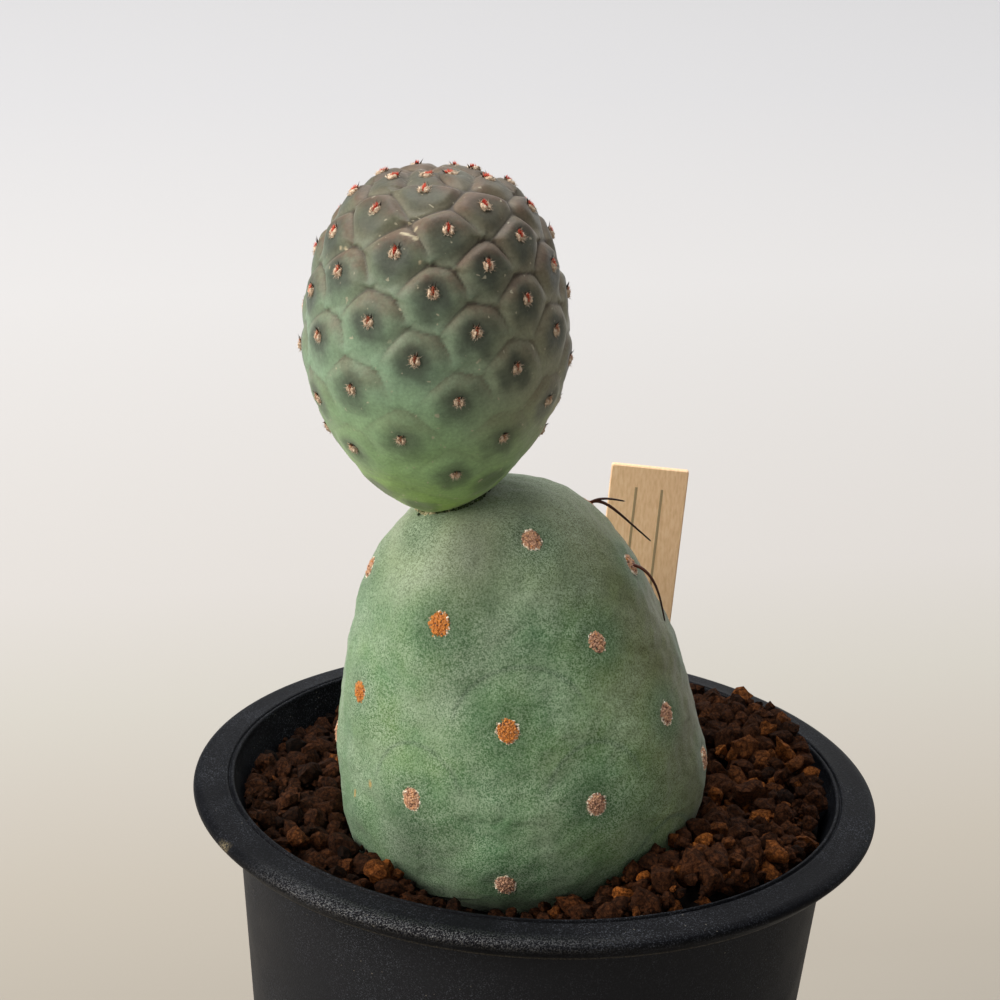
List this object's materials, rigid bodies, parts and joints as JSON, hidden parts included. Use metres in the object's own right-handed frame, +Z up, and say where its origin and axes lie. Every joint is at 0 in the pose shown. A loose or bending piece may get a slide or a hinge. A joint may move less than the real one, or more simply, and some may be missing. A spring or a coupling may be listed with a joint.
{
  "type": "potted tephrocactus geometricus",
  "caption": "Small potted cactus: an egg-shaped scaly young joint on a larger blue-green one, in a round black nursery pot of crumbled clay soil with a plain label",
  "frame": {"origin": "centre of the pot's foot, on the surface that the pot stands on", "axes": "+Z up, the axis of the pot; -Y is the side that the camera sees; the label stands towards +X and +Y"},
  "size_m": [0.09, 0.09, 0.1651],
  "materials": {
    "pot_plastic": "black moulded nursery pot plastic, satin, lightly scuffed and dusty",
    "clay_grains": "dry crumbled fired clay grains, reddish brown, rough",
    "old_skin": "blue-green plant skin with a fine pale waxy bloom, corky areoles",
    "young_skin": "grey-green to purple-grey plant skin, waxy, with woolly areoles",
    "label_card": "plain tan kraft card"
  },
  "bodies": {
    "root": {"pot": "pot_plastic", "soil": "clay_grains", "lower_segment": "old_skin", "upper_segment": "young_skin", "plant_label": "label_card"}
  },
  "joints": []
}
